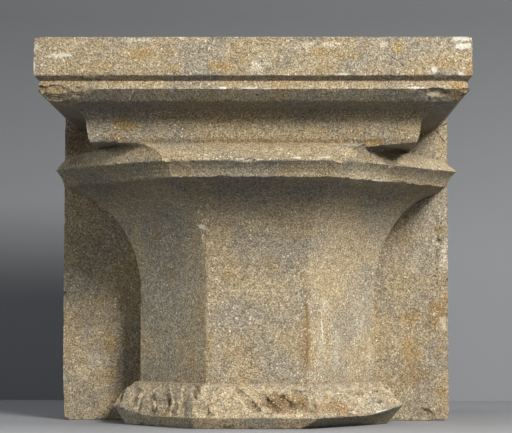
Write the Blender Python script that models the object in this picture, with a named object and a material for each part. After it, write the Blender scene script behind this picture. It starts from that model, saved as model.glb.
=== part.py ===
"""Wall respond carved from one stone: a moulded slab, an eight sided ledge, a bell, a shaft and a broken ring.

Metres, +Z up. The carved front faces -Y and the wall block is behind it. The origin lies on the
bed plane, under the middle of the stone. Heights are measured from the bed, and setbacks from the
slab's outer face.
"""

import math

import bmesh
import bpy
from mathutils import Matrix, Vector, noise

# Whole stone
WIDTH = 0.460
HEIGHT = 0.414
SLAB_REACH = 0.260
TAIL_DEPTH = 0.140

# Slab mouldings, from the top bed down: the depth of each band and the setback at its foot
FASCIA_HEIGHT = 0.041
QUIRK_HEIGHT = 0.0048
QUIRK_SETBACK = 0.0065
SECOND_RISE = 0.0089
SECOND_SETBACK = 0.0017
SPLAY_HEIGHT = 0.0123
SPLAY_SETBACK = 0.0145
SOFFIT_HEIGHT = 0.0037
SOFFIT_SETBACK = 0.0380
HOLLOW_HEIGHT = 0.0193
HOLLOW_SETBACK = 0.0500
FACE_HEIGHT = 0.0115
FACE_SETBACK = 0.0520
FOOT_HEIGHT = 0.0040
FOOT_SETBACK = 0.0542
HOLLOW_STEPS = 6

# Root of the slab: between these two places its foot runs down into the ledge, a little lower
# at each end, and the gaps under the slab's corners begin beyond them
ROOT_HALF_WIDTH = 0.125
ROOT_LEFT_DROP = 0.0015
ROOT_RIGHT_DROP = 0.0046
ROOT_LEFT_FADE = 0.025
ROOT_RIGHT_FADE = 0.047

# Ledge: eight sided in plan, its side facets flush with the wall block. Its arris stands further
# forward at both tips, and the left diagonal is a little full in plan
LEDGE_SETBACK = 0.0302
LEDGE_CORNER_CUT = 0.137
LEDGE_LEFT_TIP_FORWARD = 0.020
LEDGE_RIGHT_TIP_FORWARD = 0.006
LEDGE_LEFT_SIDE_WEAR = 0.0044
LEDGE_LEFT_FULLNESS = 0.007
LEDGE_CROWN_HEIGHT = 0.0236
LEDGE_CROWN_INSET = 0.045
LEDGE_LEFT_CROWN_REACH = 0.0895
LEDGE_RIGHT_CROWN_REACH = 0.048
LEDGE_CROWN_START = math.radians(25.0)
LEDGE_CROWN_STEPS = 8
LEDGE_CROWN_BITE = 0.002
LEDGE_FACE_HEIGHT = 0.017
LEDGE_FACE_INSET = 0.0113
LEDGE_FACE_HOLLOW = 0.0018
LEDGE_FACE_STEPS = 4
DIAGONAL_STEPS = 5

# Bell and shaft
SHAFT_WIDTH = 0.272
SHAFT_REACH = 0.136
SHAFT_CORNER_CUT = 0.0797
SHAFT_SHIFT = 0.003
BELL_HEIGHT = 0.118
BELL_SWEEP = math.radians(79.5)
BELL_STEPS = 14

# Broken ring at the foot of the shaft
RING_WIDTH = 0.336
RING_REACH = 0.171
RING_CORNER_CUT = 0.097
RING_CHAMFER_HEIGHT = 0.0115
RING_FOOT_FRONT_INSET = 0.007
RING_FOOT_SIDE_INSET = 0.019
RING_RIGHT_LOSS = 0.020
RING_TIP_LIFT = 0.010
RING_TIP_START = 0.75
RING_HEIGHT = 0.045
RING_CROWN_STEPS = 6
RING_SIDE_POINTS = 5
RING_DIAGONAL_POINTS = 11
RING_FRONT_POINTS = 14
SCALLOP_WIDTH = 0.021
SCALLOP_DEPTH = 0.0055
SCALLOP_WANDER = 0.35
FRACTURE_SIZE = 0.018
FRACTURE_DEPTH = 0.004

# Wear of the wall block: rounded lower corners, and the lower left edge worn in
BLOCK_LEFT_FOOT_WEAR = 0.006
BLOCK_RIGHT_FOOT_WEAR = 0.008
BLOCK_LEFT_WORN_IN = 0.0025
BLOCK_LEFT_WORN_HEIGHT = 0.060

# Roughness of the chips
CHIP_ROUGHNESS = 0.18
CHIP_LUMPS = 1.7

# How far the carved bodies run into one another
BITE = 0.020
RING_BITE = 0.004

HALF_WIDTH = WIDTH / 2
WALL_FACE = (SLAB_REACH - TAIL_DEPTH) / 2
SLAB_FRONT = WALL_FACE - SLAB_REACH
BACK = WALL_FACE + TAIL_DEPTH

QUIRK_TOP = HEIGHT - FASCIA_HEIGHT
QUIRK_FOOT = QUIRK_TOP - QUIRK_HEIGHT
SECOND_ARRIS = QUIRK_FOOT - SECOND_RISE
SPLAY_FOOT = SECOND_ARRIS - SPLAY_HEIGHT
HOLLOW_TOP = SPLAY_FOOT - SOFFIT_HEIGHT
HOLLOW_FOOT = HOLLOW_TOP - HOLLOW_HEIGHT
FACE_FOOT = HOLLOW_FOOT - FACE_HEIGHT
SLAB_BED = FACE_FOOT - FOOT_HEIGHT

LEDGE_TOP = SLAB_BED + LEDGE_CROWN_BITE
LEDGE_ARRIS = LEDGE_TOP - LEDGE_CROWN_HEIGHT
LEDGE_FOOT = LEDGE_ARRIS - LEDGE_FACE_HEIGHT
LEDGE_REACH = SLAB_REACH - LEDGE_SETBACK
BELL_FOOT = LEDGE_FOOT - BELL_HEIGHT

# A 45 degree corner cut loses this share of the distance by which its outline is set in
CUT_LOSS = 2.0 - math.sqrt(2.0)


def half_octagon(half_width, reach, cuts, height, shift=0.0):
    """Six plan corners of a half octagon in front of the wall face, from left to right."""
    left_cut, right_cut = cuts
    outline = (
        (-half_width, -BITE),
        (-half_width, reach - left_cut),
        (-half_width + left_cut, reach),
        (half_width - right_cut, reach),
        (half_width, reach - right_cut),
        (half_width, -BITE),
    )
    return [Vector((x + shift, WALL_FACE - out, height)) for x, out in outline]


def loft(name, outlines):
    """Closed body through a stack of outlines with equal numbers of corners."""
    bm = bmesh.new()
    below = None
    for outline in outlines:
        corners = [bm.verts.new(point) for point in outline]
        loop = [bm.edges.new((corners[i - 1], corners[i])) for i in range(len(corners))]
        if below is None:
            bm.faces.new(corners)
        else:
            bmesh.ops.bridge_loops(bm, edges=below + loop)
        below = loop
    bm.faces.new(corners)
    bmesh.ops.recalc_face_normals(bm, faces=bm.faces)
    return finish_mesh(name, bm)


def finish_mesh(name, bm):
    mesh = bpy.data.meshes.new(name)
    bm.to_mesh(mesh)
    bm.free()
    body = bpy.data.objects.new(name, mesh)
    bpy.context.scene.collection.objects.link(body)
    return body


def as_guide(body):
    """A body that only shapes the stone stays out of the finished model."""
    body.hide_render = True
    body.display_type = "WIRE"
    return body


def combine(stone, guide, operation):
    step = stone.modifiers.new(guide.name, "BOOLEAN")
    step.operation = operation
    step.solver = "EXACT"
    step.object = as_guide(guide)


def slab_profile():
    """Setback and height of each moulding line, from the slab's bed up to its top."""
    lines = [
        (FOOT_SETBACK, SLAB_BED),
        (FACE_SETBACK, FACE_FOOT),
    ]
    for step in range(HOLLOW_STEPS + 1):
        turn = math.pi / 2 * (1.0 - step / HOLLOW_STEPS)
        setback = SOFFIT_SETBACK + (HOLLOW_SETBACK - SOFFIT_SETBACK) * math.sin(turn)
        lines.append((setback, HOLLOW_FOOT + HOLLOW_HEIGHT * math.cos(turn)))
    lines += [
        (SPLAY_SETBACK, SPLAY_FOOT),
        (SECOND_SETBACK, SECOND_ARRIS),
        (QUIRK_SETBACK, QUIRK_FOOT),
        (0.0, QUIRK_TOP),
        (0.0, HEIGHT),
    ]
    return lines


def make_slab():
    outlines = []
    for setback, height in slab_profile():
        side = HALF_WIDTH - setback
        front = SLAB_FRONT + setback
        back = WALL_FACE + BITE
        outlines.append([
            Vector((-side, back, height)),
            Vector((-side, front, height)),
            Vector((side, front, height)),
            Vector((side, back, height)),
        ])
    return loft("slab_form", outlines)


def ledge_outline(inset, height, arris_share=1.0):
    """Plan of the ledge; arris_share is 1 at its arris, where the tips stand forward, and 0 at its foot."""
    cut = LEDGE_CORNER_CUT - CUT_LOSS * inset
    outline = half_octagon(HALF_WIDTH - inset, LEDGE_REACH - inset, (cut, cut), height)
    outline[0].x += LEDGE_LEFT_SIDE_WEAR * arris_share
    outline[1].x += LEDGE_LEFT_SIDE_WEAR * arris_share
    outline[1].y -= LEDGE_LEFT_TIP_FORWARD * arris_share
    outline[4].y -= LEDGE_RIGHT_TIP_FORWARD * arris_share
    return outline


def with_diagonal_points(outline, left_fullness=0.0):
    """Adds even points along both diagonal facets, which twist under the slab's corners."""
    wall_left, left, front_left, front_right, right, wall_right = outline
    shares = [step / DIAGONAL_STEPS for step in range(1, DIAGONAL_STEPS)]
    outward = Vector((-1.0, -1.0, 0.0)).normalized() * left_fullness
    left_points = [left.lerp(front_left, share) + outward * math.sin(math.pi * share)
                   for share in shares]
    right_points = [front_right.lerp(right, share) for share in shares]
    return [wall_left, left, *left_points, front_left, front_right, *right_points, right, wall_right]


def crown_shares(turn):
    """How far in and how far up the ledge's round top is, as shares of the whole, on an ellipse."""
    across = math.cos(LEDGE_CROWN_START)
    up = 1.0 - math.sin(LEDGE_CROWN_START)
    return (across - math.cos(turn)) / across, (math.sin(turn) - math.sin(LEDGE_CROWN_START)) / up


def crown_top():
    """Corners of the crown's top, placed so that at the slab's bed it meets the slab's foot."""
    risen = (SLAB_BED - LEDGE_ARRIS) / LEDGE_CROWN_HEIGHT
    low = math.sin(LEDGE_CROWN_START)
    at_bed = crown_shares(math.asin(low + (1.0 - low) * risen))[0]
    side = HALF_WIDTH - LEDGE_CROWN_INSET * at_bed
    front = SLAB_REACH - FOOT_SETBACK
    plan = (
        (-side, -BITE),
        (-side, LEDGE_LEFT_CROWN_REACH),
        (-ROOT_HALF_WIDTH, front),
        (ROOT_HALF_WIDTH, front),
        (side, LEDGE_RIGHT_CROWN_REACH),
        (side, -BITE),
    )
    arris = ledge_outline(0.0, LEDGE_ARRIS)
    corners = []
    for (x, out), start in zip(plan, arris):
        meeting = Vector((x, WALL_FACE - out, LEDGE_ARRIS))
        corners.append(start + (meeting - start) / at_bed)
    return arris, corners


def make_ledge_and_shaft():
    shaft_cuts = (SHAFT_CORNER_CUT, SHAFT_CORNER_CUT)
    shaft_low = RING_CHAMFER_HEIGHT
    shaft = half_octagon(SHAFT_WIDTH / 2, SHAFT_REACH, shaft_cuts, 0.0, SHAFT_SHIFT)
    ledge_foot = ledge_outline(LEDGE_FACE_INSET, 0.0, 0.0)
    outlines = [with_diagonal_points([point + Vector((0, 0, shaft_low)) for point in shaft])]
    for step in range(BELL_STEPS + 1):
        turn = BELL_SWEEP * step / BELL_STEPS
        flare = (1.0 - math.cos(turn)) / (1.0 - math.cos(BELL_SWEEP))
        rise = BELL_HEIGHT * math.sin(turn) / math.sin(BELL_SWEEP)
        lift = Vector((0, 0, BELL_FOOT + rise))
        outline = [low.lerp(high, flare) + lift for low, high in zip(shaft, ledge_foot)]
        outlines.append(with_diagonal_points(outline))
    for step in range(1, LEDGE_FACE_STEPS + 1):
        share = step / LEDGE_FACE_STEPS
        hollow = LEDGE_FACE_HOLLOW * math.sin(math.pi * share)
        inset = LEDGE_FACE_INSET * (1.0 - share) + hollow
        outline = ledge_outline(inset, LEDGE_FOOT + LEDGE_FACE_HEIGHT * share, share)
        outlines.append(with_diagonal_points(outline, LEDGE_LEFT_FULLNESS * share))
    arris, top = crown_top()
    arris = with_diagonal_points(arris, LEDGE_LEFT_FULLNESS)
    top = with_diagonal_points(top)
    for step in range(1, LEDGE_CROWN_STEPS + 1):
        turn = LEDGE_CROWN_START + (math.pi / 2 - LEDGE_CROWN_START) * step / LEDGE_CROWN_STEPS
        inward, upward = crown_shares(turn)
        lift = Vector((0, 0, LEDGE_CROWN_HEIGHT * upward))
        outlines.append([low.lerp(high, inward) + lift for low, high in zip(arris, top)])
    return loft("ledge_and_shaft_form", outlines)


def make_foot_drop():
    """Wedge under the slab's foot, deepest at the ends of the root and fading to the corners."""
    outline = (
        (-ROOT_HALF_WIDTH - ROOT_LEFT_FADE, 0.0),
        (-ROOT_HALF_WIDTH, -ROOT_LEFT_DROP),
        (ROOT_HALF_WIDTH, -ROOT_RIGHT_DROP),
        (ROOT_HALF_WIDTH + ROOT_RIGHT_FADE, 0.0),
        (ROOT_HALF_WIDTH + ROOT_RIGHT_FADE, LEDGE_CROWN_BITE),
        (-ROOT_HALF_WIDTH - ROOT_LEFT_FADE, LEDGE_CROWN_BITE),
    )
    front = SLAB_FRONT + FOOT_SETBACK
    return loft("foot_drop_form", [
        [Vector((x, depth, SLAB_BED + drop)) for x, drop in outline]
        for depth in (front, WALL_FACE + BITE)
    ])


def broken(point, outward, along, share):
    """Moves a point of the ring's crown in and out, as scallops and rough fracture."""
    cell = along / SCALLOP_WIDTH
    cell += SCALLOP_WANDER * noise.noise(Vector((along / SCALLOP_WIDTH, 0.0, 4.0)))
    scallop = abs(math.sin(math.pi * cell)) * SCALLOP_DEPTH
    rough = noise.noise(point / FRACTURE_SIZE) * FRACTURE_DEPTH
    return point + outward * ((rough - scallop) * math.sin(math.pi * share) ** 0.5)


def ring_outline(corners, share, lift_tips=0.0):
    """Subdivides a half octagon and breaks its surface; share runs over the crown's height."""
    facet_points = (
        RING_SIDE_POINTS,
        RING_DIAGONAL_POINTS,
        RING_FRONT_POINTS,
        RING_DIAGONAL_POINTS,
        RING_SIDE_POINTS,
    )
    outline = []
    along = 0.0
    for start, end, count in zip(corners, corners[1:], facet_points):
        run = end - start
        outward = Vector((run.y, -run.x, 0.0)).normalized()
        for index in range(count):
            point = start + run * (index / count)
            if share > 0.0 and outline:
                point = broken(point, outward, along + run.length * index / count, share)
            tip = abs(point.x - SHAFT_SHIFT) / (RING_WIDTH / 2)
            point.z += lift_tips * max(0.0, tip - RING_TIP_START) / (1.0 - RING_TIP_START)
            outline.append(point)
        along += run.length
    outline.append(corners[-1].copy())
    return outline


def make_ring():
    half = RING_WIDTH / 2
    cuts = (RING_CORNER_CUT, RING_CORNER_CUT)
    foot_cut = RING_CORNER_CUT - CUT_LOSS * RING_FOOT_FRONT_INSET
    foot_cut -= RING_FOOT_SIDE_INSET - RING_FOOT_FRONT_INSET
    foot_cuts = (foot_cut, foot_cut + RING_RIGHT_LOSS)
    foot = half_octagon(half - RING_FOOT_SIDE_INSET, RING_REACH - RING_FOOT_FRONT_INSET,
                        foot_cuts, 0.0, SHAFT_SHIFT)
    outlines = [ring_outline(foot, 0.0)]
    crown = half_octagon(half, RING_REACH, cuts, RING_CHAMFER_HEIGHT, SHAFT_SHIFT)
    inner_cut = SHAFT_CORNER_CUT - CUT_LOSS * RING_BITE
    top = half_octagon(SHAFT_WIDTH / 2 - RING_BITE, SHAFT_REACH - RING_BITE,
                       (inner_cut, inner_cut), RING_HEIGHT + RING_BITE, SHAFT_SHIFT)
    for step in range(RING_CROWN_STEPS + 1):
        share = step / RING_CROWN_STEPS
        turn = math.pi / 2 * share
        rise = math.sin(turn)
        closing = 1.0 - math.cos(turn)
        corners = []
        for low, high in zip(crown, top):
            plan = low.lerp(high, closing)
            plan.z = low.z + (high.z - low.z) * rise
            corners.append(plan)
        outlines.append(ring_outline(corners, share, RING_TIP_LIFT * (1.0 - share)))
    return loft("ring_form", outlines)


def make_block():
    """Wall block with its lower left edge worn in and its lower corners rounded."""
    bm = bmesh.new()
    bmesh.ops.create_cube(bm, size=1.0)
    middle = Vector((0.0, (WALL_FACE + BACK) / 2, HEIGHT / 2))
    bmesh.ops.scale(bm, vec=(WIDTH, TAIL_DEPTH, HEIGHT), verts=bm.verts)
    bmesh.ops.translate(bm, vec=middle, verts=bm.verts)
    bmesh.ops.bisect_plane(bm, geom=bm.verts[:] + bm.edges[:] + bm.faces[:],
                           plane_co=(0.0, 0.0, BLOCK_LEFT_WORN_HEIGHT), plane_no=(0.0, 0.0, 1.0))
    for vert in bm.verts:
        if vert.co.x < 0.0 and vert.co.y < BACK - BITE and vert.co.z < BLOCK_LEFT_WORN_HEIGHT / 2:
            vert.co.x += BLOCK_LEFT_WORN_IN
    for side, wear in ((-1, BLOCK_LEFT_FOOT_WEAR), (1, BLOCK_RIGHT_FOOT_WEAR)):
        foot_edge = [edge for edge in bm.edges
                     if all(vert.co.x * side > HALF_WIDTH / 2
                            and vert.co.z < BLOCK_LEFT_WORN_HEIGHT / 2 for vert in edge.verts)]
        bmesh.ops.bevel(bm, geom=foot_edge, offset=wear, offset_type="OFFSET", segments=2,
                        profile=0.5, affect="EDGES", material=-1)
    return finish_mesh("carved_stone", bm)


def chip_form(name, centre, half_size, turn=0.0):
    """Rough flattened ball that a spall or chip is scooped out with."""
    bm = bmesh.new()
    bmesh.ops.create_icosphere(bm, subdivisions=2, radius=1.0)
    for vert in bm.verts:
        place_in_noise = vert.co * CHIP_LUMPS + centre / FRACTURE_SIZE
        vert.co *= 1.0 + CHIP_ROUGHNESS * noise.noise(place_in_noise)
    place = Matrix.Translation(centre) @ Matrix.Rotation(turn, 4, "Y")
    bmesh.ops.transform(bm, matrix=place @ Matrix.Diagonal((*half_size, 1.0)), verts=bm.verts)
    return finish_mesh(name, bm)


def chips():
    """Named losses along the arrises: place, half size, turn about the depth direction."""
    second = Vector((0.0, SLAB_FRONT + SECOND_SETBACK, SECOND_ARRIS))
    ledge = Vector((0.0, WALL_FACE - LEDGE_REACH, LEDGE_ARRIS))
    ledge_corner = HALF_WIDTH - LEDGE_CORNER_CUT
    slab_left = Vector((-HALF_WIDTH, SLAB_FRONT, HEIGHT))
    slab_right = Vector((HALF_WIDTH, SLAB_FRONT, HEIGHT))
    block_left = Vector((-HALF_WIDTH, WALL_FACE, 0.0))
    block_right = Vector((HALF_WIDTH, WALL_FACE, 0.0))
    second_left = second - Vector((HALF_WIDTH, 0.0, 0.0))
    second_right = second + Vector((HALF_WIDTH, 0.0, 0.0))
    return (
        ("slab_left_chip", slab_left + Vector((-0.001, -0.002, 0.002)), (0.008, 0.008, 0.007), 0.3),
        ("slab_right_chip", slab_right + Vector((0.003, -0.002, 0.003)), (0.009, 0.009, 0.009), 0.0),
        ("second_end_loss", second_left + Vector((0.004, -0.005, -0.003)), (0.014, 0.012, 0.010), 0.0),
        ("second_long_loss", second_left + Vector((0.024, -0.005, -0.002)), (0.018, 0.011, 0.009), 0.1),
        ("second_small_loss", second_left + Vector((0.047, -0.005, -0.001)), (0.014, 0.009, 0.008), 0.0),
        ("second_right_loss", second_right + Vector((-0.036, -0.004, -0.007)), (0.017, 0.012, 0.009), 0.2),
        ("second_tip_loss", second_right + Vector((-0.004, -0.005, -0.006)), (0.014, 0.011, 0.009), 0.0),
        ("ledge_left_chip", ledge + Vector((-ledge_corner, -0.002, 0.003)), (0.009, 0.006, 0.006), 0.0),
        ("ledge_middle_spall", ledge + Vector((-0.006, -0.004, 0.000)), (0.018, 0.007, 0.004), 0.0),
        ("ledge_right_chip", ledge + Vector((ledge_corner, -0.002, 0.004)), (0.011, 0.007, 0.007), 0.0),
        ("block_notch", block_left + Vector((-0.001, 0.0, 0.150)), (0.005, 0.009, 0.003), 0.0),
        ("block_foot_chip", block_right + Vector((-0.0255, -0.002, 0.006)), (0.010, 0.006, 0.008), 0.5),
    )


def limestone():
    stone = bpy.data.materials.new("buff_limestone")
    stone.use_nodes = True
    shader = stone.node_tree.nodes["Principled BSDF"]
    shader.inputs["Base Color"].default_value = (0.36, 0.30, 0.21, 1.0)
    shader.inputs["Roughness"].default_value = 0.92
    shader.inputs["Metallic"].default_value = 0.0
    return stone


for old in list(bpy.data.objects):
    bpy.data.objects.remove(old, do_unlink=True)

carved_stone = make_block()
carved_stone.data.materials.append(limestone())
combine(carved_stone, make_slab(), "UNION")
combine(carved_stone, make_ledge_and_shaft(), "UNION")
combine(carved_stone, make_foot_drop(), "UNION")
combine(carved_stone, make_ring(), "UNION")
for chip_name, chip_place, chip_size, chip_turn in chips():
    combine(carved_stone, chip_form(chip_name, chip_place, chip_size, chip_turn), "DIFFERENCE")
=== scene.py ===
import itertools
import math

import bmesh
import bpy
import numpy as np
from mathutils import Matrix, Vector
from mathutils.bvhtree import BVHTree
from mathutils.kdtree import KDTree


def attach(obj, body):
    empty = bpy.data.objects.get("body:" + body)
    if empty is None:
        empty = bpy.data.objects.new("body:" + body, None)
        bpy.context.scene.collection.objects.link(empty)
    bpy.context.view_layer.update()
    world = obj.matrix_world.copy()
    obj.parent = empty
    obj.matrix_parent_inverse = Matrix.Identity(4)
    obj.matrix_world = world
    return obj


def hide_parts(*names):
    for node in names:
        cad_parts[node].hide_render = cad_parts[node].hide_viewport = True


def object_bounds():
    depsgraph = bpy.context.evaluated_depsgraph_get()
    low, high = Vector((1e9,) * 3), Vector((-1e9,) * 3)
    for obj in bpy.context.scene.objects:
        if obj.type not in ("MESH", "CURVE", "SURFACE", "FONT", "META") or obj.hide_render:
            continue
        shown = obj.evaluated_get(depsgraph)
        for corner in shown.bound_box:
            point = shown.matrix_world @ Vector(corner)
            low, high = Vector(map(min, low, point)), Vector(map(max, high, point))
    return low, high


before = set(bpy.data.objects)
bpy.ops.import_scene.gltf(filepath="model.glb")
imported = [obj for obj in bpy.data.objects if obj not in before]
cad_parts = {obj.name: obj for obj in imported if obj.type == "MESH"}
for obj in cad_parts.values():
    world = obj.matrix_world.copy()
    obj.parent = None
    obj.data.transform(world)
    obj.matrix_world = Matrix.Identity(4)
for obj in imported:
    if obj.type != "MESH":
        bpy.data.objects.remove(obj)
cad_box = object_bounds()


# The stone
# One block of coarse buff limestone, carved all over its front and flat where it met the wall.
# Its arrises are worn and chipped, the ring at its foot is broken off, and its faces carry
# ochre, brown and white patches. Dirt and painted shade darken it underneath and in the creases.

# how finely the stone is worked over, and which turns of its surface count as sharp
REMESH_DEPTH = 8
REMESH_SCALE = 0.99
TRIANGLES = 186000
WELD = 0.00002
FLAT_TURN = math.radians(0.4)
SHARP_TURN = math.radians(24.0)
CRISP_TURN = math.radians(50.0)
EDGE_STEP = 0.0015

# places and sizes on the stone, in metres
WALL_FACE = 0.060
SHAFT_MIDDLE = 0.003
SHAFT_HALF = 0.136
SHAFT_CUT = 0.0797
RING_TOP = 0.050
LOST_TOP = 0.366
ARRIS_WEAR = 0.0034
CRESCENT_STEP = 0.0185
FLAT_MARGIN = 0.0008

# centre, half size and depth of each dent or flake, in metres
dents = (
    ((-0.021, -0.200, 0.3868), (0.0050, 0.006, 0.0040), 0.0013),
    ((0.006, -0.200, 0.3870), (0.0060, 0.006, 0.0050), 0.0015),
    ((0.013, -0.200, 0.3790), (0.0065, 0.006, 0.0045), 0.0014),
    ((0.049, -0.200, 0.4090), (0.0040, 0.006, 0.0022), 0.0016),
    ((0.058, -0.200, 0.4100), (0.0040, 0.006, 0.0020), 0.0014),
    ((0.075, -0.200, 0.4088), (0.0045, 0.006, 0.0022), 0.0016),
    ((0.088, -0.200, 0.4098), (0.0040, 0.006, 0.0024), 0.0016),
    ((0.098, -0.200, 0.4085), (0.0035, 0.006, 0.0022), 0.0014),
    ((0.110, -0.200, 0.4095), (0.0050, 0.006, 0.0022), 0.0015),
    ((0.117, -0.200, 0.4080), (0.0035, 0.006, 0.0020), 0.0013),
    ((0.216, 0.060, 0.2370), (0.0030, 0.006, 0.0040), 0.0020),
    ((0.215, 0.060, 0.2250), (0.0035, 0.006, 0.0035), 0.0022),
    ((0.217, 0.060, 0.2130), (0.0030, 0.006, 0.0040), 0.0020),
    ((0.216, 0.060, 0.2010), (0.0028, 0.006, 0.0035), 0.0018),
    ((0.227, 0.060, 0.1160), (0.0050, 0.010, 0.0100), 0.0022),
    ((0.020, -0.105, 0.0250), (0.0300, 0.030, 0.0130), 0.0040),
    ((0.060, -0.100, 0.0220), (0.0120, 0.030, 0.0090), 0.0030),
    ((-0.165, 0.060, 0.1820), (0.0060, 0.008, 0.0030), 0.0008),
)

# centre and reach of each scar at the lost ends of the slab's second moulding, in metres
lost_ends = (
    ((-0.222, -0.198, 0.356), 0.019),
    ((-0.204, -0.200, 0.358), 0.019),
    ((-0.183, -0.201, 0.358), 0.015),
    ((0.192, -0.200, 0.352), 0.018),
    ((0.224, -0.200, 0.352), 0.016),
)


def lumps(places, size, seed):
    """Smooth noise from -1 to 1 at each place, its lumps about that many metres across."""
    cells = places / size
    corner = np.floor(cells).astype(np.int64)
    share = cells - corner
    share = share * share * (3.0 - 2.0 * share)
    total = np.zeros(len(places))
    # large whole numbers scatter the eight corners of each cell, so that no pattern shows
    for step in itertools.product((0, 1), repeat=3):
        key = corner + step
        mixed = key[:, 0] * 73856093 ^ key[:, 1] * 19349663 ^ key[:, 2] * 83492791 ^ seed * 2654435761
        mixed = (mixed ^ (mixed >> 13)) * 1274126177 & 0xFFFFFFFF
        mixed = (mixed ^ (mixed >> 15)) * 668265263 & 0xFFFFFFFF
        weight = np.prod(np.where(step, share, 1.0 - share), axis=1)
        total += weight * ((mixed >> 8 & 0xFFFF) / 32767.5 - 1.0)
    return total


def ramp(values, low, high):
    """0 below low, 1 above high, smooth between them."""
    share = np.clip((values - low) / (high - low), 0.0, 1.0)
    return share * share * (3.0 - 2.0 * share)


def edge_tree(bm, outer):
    """Points along every sharp outer arris, or every inner crease, to measure distances from."""
    places = []
    for edge in bm.edges:
        turn = edge.calc_face_angle_signed(0.0) if edge.is_manifold else 0.0
        if (turn > SHARP_TURN) if outer else (turn < -SHARP_TURN):
            start, end = (vert.co for vert in edge.verts)
            count = max(1, round((end - start).length / EDGE_STEP))
            places += [start.lerp(end, step / count) for step in range(count + 1)]
    tree = KDTree(len(places))
    for index, place in enumerate(places):
        tree.insert(place, index)
    tree.balance()
    return tree


def read_places(mesh):
    """The points of a mesh, one row each."""
    places = np.empty(len(mesh.vertices) * 3)
    mesh.vertices.foreach_get("co", places)
    return places.reshape(-1, 3)


def distances(tree, places):
    """How far each place is from the nearest point of the tree."""
    return np.array([tree.find(place)[2] for place in places])


def broken_share(places):
    """1 over the broken crown of the ring and over the lost ends of the slab's moulding."""
    across = np.abs(places[:, 0] - SHAFT_MIDDLE)
    out = WALL_FACE - places[:, 1]
    outside = np.maximum(across - SHAFT_HALF, out - SHAFT_HALF)
    outside = np.maximum(outside, (across + out - 2 * SHAFT_HALF + SHAFT_CUT) / math.sqrt(2.0))
    tip_lift = 0.011 * ramp(across, 0.120, 0.165)
    broken = ramp(outside, 0.0005, 0.006) * ramp(RING_TOP - places[:, 2], 0.0, 0.006)
    broken *= ramp(places[:, 2] - tip_lift, 0.0110, 0.0150) * ramp(out, 0.0015, 0.0040)
    below = ramp(LOST_TOP - places[:, 2], 0.0, 0.004)
    for centre, reach in lost_ends:
        away = np.linalg.norm(places - centre, axis=1)
        broken = np.maximum(broken, 0.4 * ramp(reach - away, 0.0, 0.005) * below)
    return broken


def wear_depth(places, to_arris):
    """How far each point of the dressed stone has worn or broken inwards."""
    # the carved front is a little uneven, and the sides and back of the wall block are flat
    front = ramp(WALL_FACE + 0.010 - places[:, 1], 0.0, 0.008)
    depth = front * 0.00028 * (1.0 + lumps(places, 0.024, 1))
    depth += front * 0.00024 * (1.0 + lumps(places, 0.0055, 2))

    # the arrises are rubbed, with small bites and wider spalls
    near = np.clip(1.0 - to_arris / ARRIS_WEAR, 0.0, 1.0) ** 1.5
    near *= 0.35 + 0.65 * front
    bites = ramp(lumps(places, 0.0052, 3), 0.15, 0.75)
    spalls = ramp(lumps(places, 0.014, 4), 0.35, 0.75)
    depth += near * (0.0001 + 0.0013 * bites + 0.0018 * spalls)

    # the broken ring has curved ridges from the blows at both its ends, and a rough flaked face
    broken = broken_share(places)
    along = places[:, 0] - 0.35 * (places[:, 1] + 0.08)
    bend = 14.0 * (places[:, 2] - 0.030) ** 2
    crescent = along / CRESCENT_STEP + bend / CRESCENT_STEP + 0.80 * lumps(places, 0.022, 5)
    left = ramp(-0.030 - places[:, 0], 0.0, 0.020)
    right = ramp(places[:, 0] - 0.060, 0.0, 0.020) * 0.55
    depth += broken * 0.0040 * (left + right) * (1.0 - crescent % 1.0) ** 1.5
    ridges = 1.0 - np.abs(lumps(places, 0.012, 6))
    depth += broken * 0.0024 * np.clip(ridges - 0.45, 0.0, 1.0)
    depth += broken * 0.0011 * (1.0 + lumps(places, 0.0042, 7))
    depth += broken * 0.0006 * (1.0 + lumps(places, 0.0024, 8))

    # the dents and flakes have ragged outlines
    rag = 0.30 * lumps(places, 0.0050, 9)
    for centre, half_size, deepest in dents:
        reach = np.linalg.norm((places - centre) / half_size, axis=1) + rag
        depth += deepest * ramp(1.0 - reach, 0.0, 0.45)
    return depth


carved_bm = bmesh.new()
carved_bm.from_mesh(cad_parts["carved_stone"].data)
bmesh.ops.remove_doubles(carved_bm, verts=carved_bm.verts, dist=WELD)
bmesh.ops.dissolve_limit(carved_bm, angle_limit=FLAT_TURN, verts=carved_bm.verts,
                         edges=carved_bm.edges)
bmesh.ops.triangulate(carved_bm, faces=carved_bm.faces)
bmesh.ops.recalc_face_normals(carved_bm, faces=carved_bm.faces)
arrises = edge_tree(carved_bm, outer=True)
creases = edge_tree(carved_bm, outer=False)
carved_faces = BVHTree.FromBMesh(carved_bm)
carved_mesh = bpy.data.meshes.new("stone_form")
carved_bm.to_mesh(carved_mesh)
carved_bm.free()


def with_modifier(mesh, kind, **values):
    """The mesh after one modifier."""
    holder = bpy.data.objects.new("stone_form", mesh)
    bpy.context.scene.collection.objects.link(holder)
    modifier = holder.modifiers.new(kind, kind)
    for name, value in values.items():
        setattr(modifier, name, value)
    finished = holder.evaluated_get(bpy.context.evaluated_depsgraph_get())
    result = bpy.data.meshes.new_from_object(finished)
    bpy.data.objects.remove(holder)
    return result


dense = with_modifier(carved_mesh, "REMESH", mode="SHARP", octree_depth=REMESH_DEPTH,
                      scale=REMESH_SCALE, sharpness=1.0, use_remove_disconnected=False)
places = read_places(dense)
normals = np.empty(len(places) * 3)
dense.vertex_normals.foreach_get("vector", normals)
normals = normals.reshape(-1, 3)
worn = places - normals * wear_depth(places, distances(arrises, places))[:, None]

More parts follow.
